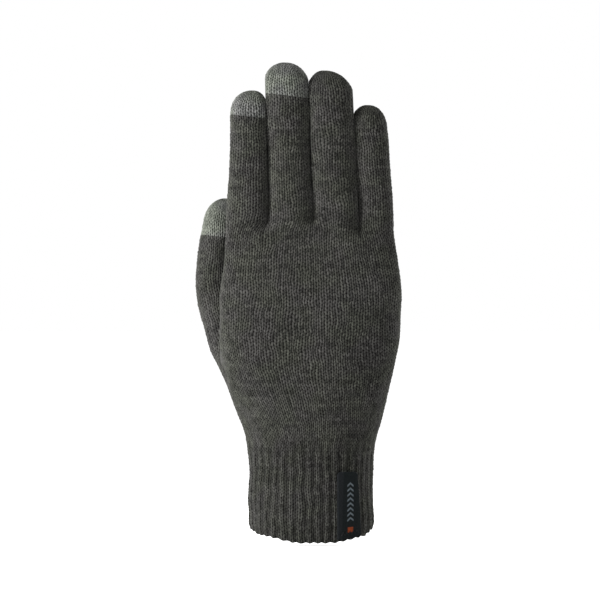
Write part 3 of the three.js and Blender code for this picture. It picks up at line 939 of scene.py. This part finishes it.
def yarn_material(name, dark, light, painted_hole_shade, spread):
    """Heather yarn: dark and light fibres carded together, with deep holes between stitches.

    `painted_hole_shade` is how bright the painted shade leaves the holes between stitches, and
    `spread` how much the tone changes the shade.
    """
    n = Nodes(name)
    wale, course = n.place("Knit")
    leg = knit_nodes(n, wale, course)
    half_wale = n.math("FLOOR", n.math("MULTIPLY", wale, 2.0))
    right_leg = n.math("PINGPONG", half_wale, 1.0)  # each stitch's right leg is a little darker
    stitch = n.chance(n.vector(half_wale, n.math("FLOOR", course)))
    along = n.vector(n.math("MULTIPLY", wale, 7.0), n.math("MULTIPLY", course, 2.4))
    fibres = n.noise(1.0, 2.0, along)
    specks = n.noise(2600, 2.0)
    share = n.math("MULTIPLY_ADD", n.attribute("tone"), spread, 0.5)
    for part, weight in ((stitch, 0.5), (right_leg, -0.1), (fibres, 1.5), (specks, 0.7)):
        share = n.math("ADD", share, n.math("MULTIPLY_ADD", part, weight, -weight / 2))
    share = n.math("MINIMUM", n.math("MAXIMUM", share, 0.0), 1.0)
    colour = n.blend(share, dark, light)
    hue = n.scaled(n.noise(90, 1.0), 0.35, 0.65, 0.0, 1.0)
    tint = n.blend(hue, (1.0, 1.01, 0.9, 1), (1.03, 0.98, 1.0, 1))
    colour = n.blend(1.0, colour, tint, "MULTIPLY")
    # painted shade: the colour is drawn towards black in the holes between stitches, and by the
    # shade attribute in the rib's valleys
    depth = n.scaled(leg, 0.25, 0.85, painted_hole_shade, 1.0)
    depth = n.math("MULTIPLY", depth, n.attribute("shade"))
    colour = n.blend(depth, (0.0, 0.0, 0.0, 1), colour)
    fuzz = n.bump(n.noise(2200, 3.0), 0.12 * MM, 0.6)
    relief = n.bump(leg, 0.3 * MM, 0.8, fuzz)
    n.finish(Base_Color=colour, Roughness=0.95, Specular_IOR_Level=0.1, Normal=relief)
    n.finish(Sheen_Weight=0.18, Sheen_Roughness=0.5, Sheen_Tint=(0.8, 0.8, 0.76, 1.0))
    return n.material


HEATHER_YARN = "heather_yarn"
CONDUCTIVE_YARN = "conductive_yarn"
MATERIALS = {
    HEATHER_YARN: yarn_material(
        HEATHER_YARN, (0.0135, 0.014, 0.013, 1), (0.106, 0.108, 0.1, 1), painted_hole_shade=0.055, spread=0.1
    ),
    CONDUCTIVE_YARN: yarn_material(
        CONDUCTIVE_YARN, (0.062, 0.068, 0.064, 1), (0.262, 0.276, 0.262, 1), painted_hole_shade=0.1, spread=0.08
    ),
}


def stand_for(piece, node, slot, body=None):
    """Puts a piece in a CAD node's place, in a slot's material, riding a body if one is given."""
    piece.data.materials.append(MATERIALS[slot])
    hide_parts(node)
    if body:
        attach(piece, body)


# ---- The knit pieces ----
CAP_TILT = 0.12  # how steeply the caps' courses fall to the right
TILT_REACH = 8 * MM  # height below a cap's foot over which they start to
RIB_DEPTH = 0.45 * MM  # how far the rib's wales stand above its valleys
RIB_START = 0.25  # where round the cuff the first rib lies, in ribs
RIB_STRAY = 0.07  # how far the ribs stray sideways, in ribs
RIB_UNEVEN = 0.25  # how unevenly the cuff's ribs swell
SCALLOP = 0.55 * MM  # how far the rim hangs lower at a rib than in a valley
HEM = 3.2 * MM  # height over which the rim turns in
HEM_TURN = 0.9 * MM  # how far it does
PURL = 0.75  # height of a purl valley's ridges, to the knit's
RIB_SHADE = 0.4  # how much painted shade darkens the rib's valleys
RIB_FADE = 12 * MM  # height over which the ribs die away into the palm


def rib_at(marks, points):
    """The rib's swell: 1 on a knit wale and 0 in a purl valley."""
    ribs = marks * CUFF_WALES / 2 - RIB_START
    swell = np.cos(2 * math.pi * (ribs + RIB_STRAY * WANDER.at(points)))
    return 0.5 + 0.5 * swell


def make_palm():
    """The upper palm."""
    knit = Knit(palm_surface(columns_of(PALM_WALES)), PALM_WALES)
    stand_for(knit.whole("palm_knit"), "upper_palm", HEATHER_YARN, "hand")


def make_body():
    """The lower palm, with the ribs' upper ends and the thumb's root."""
    columns = columns_of(BODY_WALES)
    knit = Knit(body_surface(columns), BODY_WALES)
    rib = rib_at((columns - BODY_LEFT) / BODY_WALES, knit.points)
    fade = 1 - smoothstep((knit.points[:, :, 2] - CUFF_TOP) / RIB_FADE)
    knit.lift = knit.lift + RIB_DEPTH * (rib - MEAN_HEIGHT) * fade
    # painted shade in the rib's valleys, fading out into the palm
    knit.shade = 1 - RIB_SHADE * (1 - rib) * fade
    stand_for(knit.whole("heel_knit"), "lower_palm", HEATHER_YARN, "hand")


def make_cuff():
    """One-by-one rib: knit wales stand proud, and purl wales lie in the valleys."""
    columns = columns_of(CUFF_WALES)
    knit = Knit(cuff_surface(columns), CUFF_WALES)
    rib = rib_at(columns / CUFF_WALES, knit.points)
    purl = 0.5 + 0.5 * np.cos(2 * math.pi * knit.course)
    relief = mix(PURL * purl, knit.height, smoothstep(rib * 1.4))
    swell = 1 + RIB_UNEVEN * BOB.at(knit.points)
    above = knit.points[:, :, 2] - knit.points[0, :, 2]
    turn_in = 1 - smoothstep(above / HEM)
    knit.lift = RELIEF * (relief - MEAN_HEIGHT) + RIB_DEPTH * (rib - MEAN_HEIGHT) * swell
    knit.lift = knit.lift - HEM_TURN * turn_in
    # painted shade in the rib's purl valleys
    knit.shade = 1 - RIB_SHADE + RIB_SHADE * rib
    knit.points[:, :, 2] -= SCALLOP * (rib - 0.5) * turn_in
    stand_for(knit.whole("cuff_rib"), "ribbed_cuff", HEATHER_YARN, "hand")


def cut_digit(name, knit, rows, bends, reaches):
    """Cuts a digit at the given rows into three tubes and, where rows are left, a cap.

    The tubes are not made to bend: the span of each across its joint, its reach below and above
    the middle of the bend, is worked out but not used. Only the cap rides a body, the digit's
    tip.
    """
    bodies = ("hand", name + "_lower", name + "_middle", name + "_tip")
    last_row = len(knit.points) - 1
    for k, part in enumerate(("lower", "middle", "end")):
        closed = rows[k + 1] == last_row
        piece = knit.piece(f"{name}_{part}_knit", rows[k], rows[k + 1], closed)
        up = Vector((0, 0, reaches[k]))
        start, end = tuple(bends[k] - up), tuple(bends[k] + up)
        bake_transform(piece)
        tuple(start)
        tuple(end)
        stand_for(piece, f"{name}_{part}_tube", HEATHER_YARN)
    if rows[-1] < last_row:
        cap = knit.piece(name + "_cap_knit", rows[-1], last_row, True)
        stand_for(cap, name + "_touch_cap", CONDUCTIVE_YARN, bodies[-1])


def tilt_cap(points, z, base_row):
    """Leans the courses about the cap's foot: lower at the right than at the left."""
    centre = (points[..., 0].max(1) + points[..., 0].min(1))[:, None] / 2
    rise = smoothstep((points[..., 2] - z + TILT_REACH) / TILT_REACH)
    fall = 1 - smoothstep((np.arange(len(points)) - base_row) / (len(points) - base_row))
    points[..., 2] -= CAP_TILT * (points[..., 0] - centre) * rise * fall[:, None]
    return points


def cap_start(points, z):
    """The row nearest a height that begins a course."""
    heights = points[::UP, :, 2].mean(1)
    return int(np.argmin(np.abs(heights - z))) * UP


REACHES = (7 * MM, 7.5 * MM, 5.5 * MM)  # how far below and above each joint a finger's bend would reach; this sets where its tubes meet, and the tubes themselves are not made to bend


def make_finger(finger):
    """One finger. Its tubes meet midway between the bends."""
    wales = columns_of(finger.wales)
    low, middle, end = REACHES
    first = (finger.knuckle.z + low + finger.middle.z - middle) / 2
    second = (finger.middle.z + middle + finger.end.z - end) / 2
    dome_start = finger.top - finger.tip_height
    stops = [first, second]
    if finger.cap_z and finger.cap_z < dome_start:
        stops.append(finger.cap_z)
    stops.append(dome_start)

    def section(z):
        return finger.point(wales, z) + finger_pull(finger, wales, z)

    foot = finger_base_height(finger, wales)
    points, marks = tube(section, foot, stops, finger.top, finger.tip_lean)
    if finger.cap_z:
        points = tilt_cap(points, finger.cap_z, marks[-2])
    knit = Knit(points, finger.wales, finger.press)
    cap_row = cap_start(points, finger.cap_z) if finger.cap_z else marks[-1]
    bends = (finger.knuckle, finger.middle, finger.end)
    cut_digit(finger.name, knit, [0, marks[0], marks[1], cap_row], bends, REACHES)


THUMB_STOPS = (119.5 * MM, 134 * MM)  # where the thumb's lower and middle tubes end
THUMB_TIP = (15 * MM, 2.6 * MM)  # its height and its lean to the right
THUMB_SHORT = 1 * MM  # how far it ends below the CAD's
THUMB_REACHES = (7 * MM, 7 * MM, 8 * MM)
BASE_BEND = 112 * MM  # the middle of the lower tube's bend, worked out but not used: the base joint itself lies below the tube
KNUCKLE_BEND = Vector((0, 0, 2 * MM))  # from the knuckle to the middle of the middle tube's bend, worked out but not used
THUMB_CAP_PAINTED_LIGHT = 2.5  # painted light: how much lighter the thumb's conductive yarn is made, for the key lamp's light that falls on it, in tone


def make_thumb():
    """The thumb, whose knit starts level at its crotch."""
    wales = columns_of(THUMB_WALES)
    base, knuckle, end = (JOINTS["thumb_" + n] for n in ("base", "knuckle", "end_joint"))
    cap_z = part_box("thumb_touch_cap")[0].z
    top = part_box("thumb_touch_cap")[1].z
    tip_height, tip_lean = THUMB_TIP
    stops = [*THUMB_STOPS, cap_z, top - tip_height]

    def section(z):
        fade = 1 - smoothstep((z - THUMB_CROTCH) / THUMB_OPENING)
        return thumb_point(wales, z) + thumb_pull(wales) * fade[:, None]

    foot = np.full_like(wales, THUMB_CROTCH)
    points, marks = tube(section, foot, stops, top - THUMB_SHORT, tip_lean)
    knit = Knit(tilt_cap(points, cap_z, marks[-2]), THUMB_WALES)
    # painted light: the thumb's cap is lightened where the key lamp lights it
    knit.tone[marks[2]:] += THUMB_CAP_PAINTED_LIGHT
    bends = (Vector((base.x, base.y, BASE_BEND)), knuckle + KNUCKLE_BEND, end)
    cut_digit("thumb", knit, [0, *marks[:3]], bends, THUMB_REACHES)


make_cuff()
make_body()
make_palm()
for finger in FINGERS:
    make_finger(finger)
make_thumb()


# ---- Thread and elastic ----
GROOVE = 0.16  # depth of the grooves between strands, as a share of a cord's radius


def cord(name, path, outward, radius, strands, lay, sides=10):
    """A twisted cord along a path: strands wind round it once in every `lay` of length."""
    along = np.gradient(path, axis=0)
    steps = np.linalg.norm(along, axis=1, keepdims=True)
    along = along / steps
    across = np.cross(along, outward)
    across /= np.linalg.norm(across, axis=1, keepdims=True)
    out = np.cross(across, along)
    angle = np.arange(sides) / sides * 2 * math.pi
    turn = np.cumsum(steps)[:, None] / lay * 2 * math.pi
    size = radius * (1 - GROOVE + GROOVE * np.cos(strands * angle[None, :] + turn))
    ring = np.cos(angle)[None, :, None] * out[:, None]
    ring = ring - np.sin(angle)[None, :, None] * across[:, None]
    points = path[:, None] + ring * size[..., None]
    rows = len(path)
    vertices = np.concatenate([points.reshape(-1, 3), path[:1], path[-1:]])
    foot, top = np.arange(sides), (rows - 1) * sides + np.arange(sides)
    faces = [grid_faces(rows, sides, 0, False)]
    faces += [fan(foot, rows * sides, True), fan(top, rows * sides + 1, False)]
    bake = [grid_map(rows, sides, 0.01, 0.9, False)]
    bake += [fan_map(sides, 0.92, 0.94, True), fan_map(sides, 0.96, 0.98, False)]
    return new_mesh(name, vertices, faces, {"OFBake": bake}, {})


def cord_material(name, dark, light):
    n = Nodes(name)
    colour = n.blend(n.scaled(n.noise(3500, 3.0), 0.3, 0.7, 0.0, 1.0), dark, light)
    fibre = n.bump(n.noise(6000, 2.0), 0.05 * MM, 0.6)
    n.finish(Base_Color=colour, Roughness=0.75, Specular_IOR_Level=0.15, Normal=fibre)
    n.finish(Sheen_Weight=0.06)
    return n.material


MATERIALS["elastic"] = cord_material("elastic", (0.02, 0.02, 0.02, 1), (0.05, 0.05, 0.048, 1))


def make_elastic():
    """The covered elastic: a spiral inside the rib."""
    low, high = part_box("cuff_elastic")
    radius = 0.35 * MM
    turns = 6
    t = np.linspace(0, 1, 3200)
    sides = [low.x + radius, high.x - radius, low.y + radius, high.y - radius]
    flat = oval((t * turns) % 1.0, sides, CUFF_SQUARE)
    path = np.column_stack([flat, mix(low.z + radius, high.z - radius, t)])
    outward = np.column_stack([flat - np.array([CENTRE.x, CENTRE.y]), np.zeros_like(t)])
    piece = cord("elastic_cord", path, outward, radius, 3, 1.4 * MM, 8)
    stand_for(piece, "cuff_elastic", "elastic", "hand")


# ---- Label ----
LEAF = 0.4 * MM  # thickness of the ribbon
LABEL_RISE = 2.2 * MM  # how much higher the label's foot is at its right, where the rim rises
LABEL_TAPER = 1.9 * MM  # how much narrower the label is at its top, all on its right side
LABEL_TALLER = 1.2 * MM  # how far the soft fold stands above the CAD's
LABEL_WEAR = 1.0 * MM  # how far its upper corners are worn down
LABEL_CURL = 0.25 * MM  # how far its sides curl in towards the cuff
LEAF_ROWS = 90
FOLD_ROWS = 12
LABEL_COLUMNS = 49


def label_frame():
    """The label's middle, its directions along the cuff and outwards, and its size."""
    flat = np.concatenate(edges_of(("woven_label",)))[:, :2]
    middle = (flat.max(0) + flat.min(0)) / 2
    along = np.linalg.svd(flat - middle, full_matrices=False)[2][0]
    along = along * np.sign(along[0])
    outward = np.array([along[1], -along[0]])
    span = (flat - middle) @ along
    depth = (flat - middle) @ outward
    return middle, along, outward, np.ptp(span), np.ptp(depth)


def label_grid():
    """The ribbon's surface: rows up its back leaf, over the fold and down its front leaf.

    Each row is a ring around the ribbon's thickness. With the points come each column's place
    across the ribbon, each row's level above its foot, and the height of a leaf.
    """
    middle, along, outward, width, depth = label_frame()
    low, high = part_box("woven_label")[0].z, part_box("woven_label")[1].z
    fold = depth / 2 - LEAF / 2
    height = high - low - depth / 2 + LABEL_TALLER
    up = np.linspace(0, 1, LEAF_ROWS)
    bend = np.linspace(0, math.pi, FOLD_ROWS + 2)[1:-1]
    flat_leaf, none = np.ones_like(up), np.zeros_like(up)
    level = np.concatenate([up * height, height + fold * np.sin(bend), height * up[::-1]])
    out = fold * np.concatenate([-flat_leaf, -np.cos(bend), flat_leaf])
    lean = np.concatenate([-flat_leaf, -np.cos(bend), flat_leaf])
    rise = np.concatenate([none, np.sin(bend), none])
    across = np.linspace(-1, 1, LABEL_COLUMNS)[None, :]
    share = np.clip(level / height, 0, 1)[:, None]
    worn = LABEL_WEAR * np.abs(across) ** 7 * smoothstep((share - 0.7) / 0.3)
    side = across * width / 2 - LABEL_TAPER * share**1.3 * np.maximum(across, 0)
    curl = LABEL_CURL * across**2
    foot_rise = LABEL_RISE * ((1 + across) / 2) ** 2 * (1 - share) ** 2
    sheets = []
    for direction in (1, -1):
        reach = out[:, None] + direction * lean[:, None] * LEAF / 2 - curl
        z = low + level[:, None] + foot_rise - worn + direction * rise[:, None] * LEAF / 2
        place = middle + side[..., None] * along + reach[..., None] * outward
        sheets.append(np.concatenate([place, z[..., None]], 2))
    points = np.concatenate([sheets[0], sheets[1][:, ::-1]], 1)
    return points, np.concatenate([side, side[:, ::-1]], 1), level, height


def make_label():
    """A woven ribbon folded over at its top, its corners rounded by wear."""
    points, side, level, height = label_grid()
    rows, columns = points.shape[:2]
    up_mm = np.repeat(level[:, None], columns, 1) / MM
    pattern = knit_place(side / MM, up_mm, 0)
    half = np.arange(columns // 2)
    faces = [grid_faces(rows, columns, 0, True)]
    bake = [grid_map(rows, columns, 0.01, 0.94, True)]
    for row, place in ((0, 0.95), (rows - 1, 0.975)):  # the ribbon's two cut ends
        a = row * columns + half
        b = row * columns + columns - 1 - half
        quads = np.stack([a[:-1], a[1:], b[1:], b[:-1]], -1)
        faces.append(quads if row else quads[:, ::-1])
        bake.append(grid_map(2, len(half) - 1, place, place + 0.015, False))
    knit = [corners(pattern, True)]
    knit += [np.tile(PLAIN_GROUND, (quads.size, 1)) for quads in faces[1:]]
    maps = {"OFBake": bake, "Knit": knit}
    piece = new_mesh("label_ribbon", points.reshape(-1, 3), faces, maps, {})
    MATERIALS["ribbon"] = ribbon_material(height / MM)
    stand_for(piece, "woven_label", "ribbon", "hand")


# the ribbon's pattern is in millimetres, across from its middle and up from its foot
PLAIN_GROUND = (9.0, 1.0)  # a place without a pattern, for the cut ends
WEFT = 0.42  # from thread to thread up the ribbon
WARP = 0.36  # from thread to thread across it
SELVEDGE = -4.4  # a lighter strip lies left of this at the foot
SELVEDGE_SLOPE = 0.03  # and widens upwards
CHEVRON = 2.5  # from one chevron to the next
CHEVRON_MIDDLE = 0.3
CHEVRON_SLOPE = 0.8


def between(n, value, low, high, soft):
    """1 where a value lies between two limits, with soft edges."""
    rise = n.scaled(value, low - soft, low + soft, 0.0, 1.0)
    fall = n.scaled(value, high - soft, high + soft, 1.0, 0.0)
    return n.math("MULTIPLY", rise, fall)


def ribbon_material(height):
    """Dark satin ribbon with a woven column of chevrons and a small band below it."""
    n = Nodes("ribbon")
    x, z = n.place("Knit")
    threads = n.math("SINE", n.math("MULTIPLY", z, 2 * math.pi / WEFT))
    cross = n.math("SINE", n.math("MULTIPLY", x, 2 * math.pi / WARP))
    weave = n.math("MULTIPLY", threads, cross)
    thread = n.math("MULTIPLY_ADD", weave, 0.3, 0.5)
    ground = n.blend(thread, (0.005, 0.0075, 0.008, 1), (0.011, 0.0145, 0.0155, 1))
    edge = n.math("MULTIPLY_ADD", z, -SELVEDGE_SLOPE, n.math("ADD", x, -SELVEDGE))
    ground = n.blend(n.scaled(edge, -0.15, 0.15, 1.0, 0.0), ground, (0.0135, 0.0158, 0.0178, 1))
    away = n.math("ABSOLUTE", n.math("SUBTRACT", x, CHEVRON_MIDDLE))
    rise = n.math("MULTIPLY_ADD", away, CHEVRON_SLOPE, z)
    chevron = n.math("FRACT", n.math("DIVIDE", rise, CHEVRON))
    stripe = between(n, chevron, 0.1, 0.5, 0.06)
    stripe = n.math("MULTIPLY", stripe, between(n, x, -1.4, 2.0, 0.12))
    lowest = CHEVRON * (round(0.27 * height / CHEVRON) - 0.47)
    highest = CHEVRON * (round(0.84 * height / CHEVRON) + 0.53)
    stripe = n.math("MULTIPLY", stripe, between(n, z, lowest, highest, 0.05))
    band = between(n, z, 0.1 * height, 0.18 * height, 0.12)
    band = n.math("MULTIPLY", between(n, x, -1.2, 1.8, 0.12), band)
    colour = n.blend(n.math("MULTIPLY", stripe, 0.85), ground, (0.15, 0.18, 0.2, 1))
    colour = n.blend(n.math("MULTIPLY", band, 0.9), colour, (0.28, 0.055, 0.018, 1))
    grain = n.scaled(n.noise(1800, 2.0), 0.3, 0.7, 0.75, 1.25)
    colour = n.blend(1.0, colour, n.vector(grain, grain, grain), "MULTIPLY")
    relief = n.bump(n.math("MULTIPLY_ADD", stripe, 0.8, weave), 0.05 * MM, 0.7)
    n.finish(Base_Color=colour, Roughness=0.6, Specular_IOR_Level=0.1, Normal=relief)
    n.finish(Sheen_Weight=0.02, Sheen_Roughness=0.4)
    return n.material


MATERIALS["thread"] = cord_material("thread", (0.006, 0.0075, 0.008, 1), (0.02, 0.022, 0.024, 1))


def make_stitching():
    """One zigzag thread across the label's foot."""
    middle, along, outward, width, depth = label_frame()
    low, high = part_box("label_stitching")
    radius = 0.22 * MM
    half = 0.5 * ((high.x - low.x) - 2 * radius) / abs(along[0])
    legs = 10
    t = np.linspace(0, 1, 241)
    zigzag = blur(np.abs((t * legs) % 2 - 1), 4, 0, False)
    z = mix(high.z - radius, low.z + radius, (zigzag - zigzag.min()) / np.ptp(zigzag))
    z = z + 0.7 * LABEL_RISE * t**2
    reach = depth / 2 + radius * 1.1
    flat = middle + (t[:, None] - 0.5) * 2 * half * along + reach * outward
    path = np.column_stack([flat, z])
    facing = np.tile(np.append(outward, 0.0), (len(t), 1))
    piece = cord("label_thread", path, facing, radius, 3, 0.9 * MM)
    stand_for(piece, "label_stitching", "thread", "hand")


make_elastic()
make_label()
make_stitching()


# ---- Floor, light and camera ----
FLOOR = -1.6 * MM  # clear of the rim's lowest scallops
SKY = 0.27  # strength of the sky that lights the glove
CAMERA_DISTANCE = 6.0
PICTURE_WIDTH = 0.3  # measured in the glove's own plane
PICTURE_MIDDLE = (-5.5 * MM, 121.2 * MM)


def make_floor():
    """A white floor, bright enough to the camera to meet the white behind it."""
    bpy.ops.mesh.primitive_plane_add(size=80, location=(0, 0, FLOOR))
    floor = bpy.context.object
    floor.name = "floor"
    paint = Nodes("floor_paint")
    seen = paint.add("ShaderNodeLightPath").outputs["Is Camera Ray"]
    glow = paint.scaled(seen, 0.0, 1.0, 0.1, 0.85)
    paint.finish(Base_Color=(0.9, 0.9, 0.9, 1), Roughness=0.9, Specular_IOR_Level=0.0)
    paint.finish(Emission_Color=(1, 1, 1, 1), Emission_Strength=glow)
    floor.data.materials.append(paint.material)


def make_world():
    """White to the camera, and a dimmer, even sky to the glove."""
    world = bpy.data.worlds.new("studio")
    bpy.context.scene.world = world
    world.use_nodes = True
    tree = world.node_tree
    background = tree.nodes["Background"]
    background.inputs[0].default_value = (1, 1, 1, 1)
    path = tree.nodes.new("ShaderNodeLightPath")
    strength = tree.nodes.new("ShaderNodeMapRange")
    strength.inputs["To Min"].default_value = SKY
    strength.inputs["To Max"].default_value = 1.0
    tree.links.new(path.outputs["Is Camera Ray"], strength.inputs["Value"])
    tree.links.new(strength.outputs[0], background.inputs[1])


def area_light(name, place, size, power):
    """A square lamp that faces the middle of the palm."""
    data = bpy.data.lights.new(name, "AREA")
    data.size = size
    data.energy = power
    light = bpy.data.objects.new(name, data)
    bpy.context.scene.collection.objects.link(light)
    light.location = place
    aim = Vector((CENTRE.x, CENTRE.y, THUMB_CROTCH)) - light.location
    light.rotation_euler = aim.to_track_quat("-Z", "Y").to_euler()


def make_camera():
    """A long lens, level with the glove and straight in front of its back."""
    data = bpy.data.cameras.new("camera")
    camera = bpy.data.objects.new("camera", data)
    bpy.context.scene.collection.objects.link(camera)
    data.lens = data.sensor_width * CAMERA_DISTANCE / PICTURE_WIDTH
    x, z = PICTURE_MIDDLE
    camera.location = (x, CENTRE.y - CAMERA_DISTANCE, z)
    camera.rotation_euler = (math.radians(90), 0, 0)
    bpy.context.scene.camera = camera


make_floor()
make_world()
area_light("key", (-1.5, -0.7, 0.6), 0.6, 39)
area_light("fill", (0.5, -1.6, 0.5), 0.9, 2)
area_light("back_left", (-1.2, 1.3, 0.8), 0.8, 14)
area_light("back_right", (1.3, 1.0, 0.6), 0.8, 18)
make_camera()
bpy.context.scene.view_settings.view_transform = "Standard"
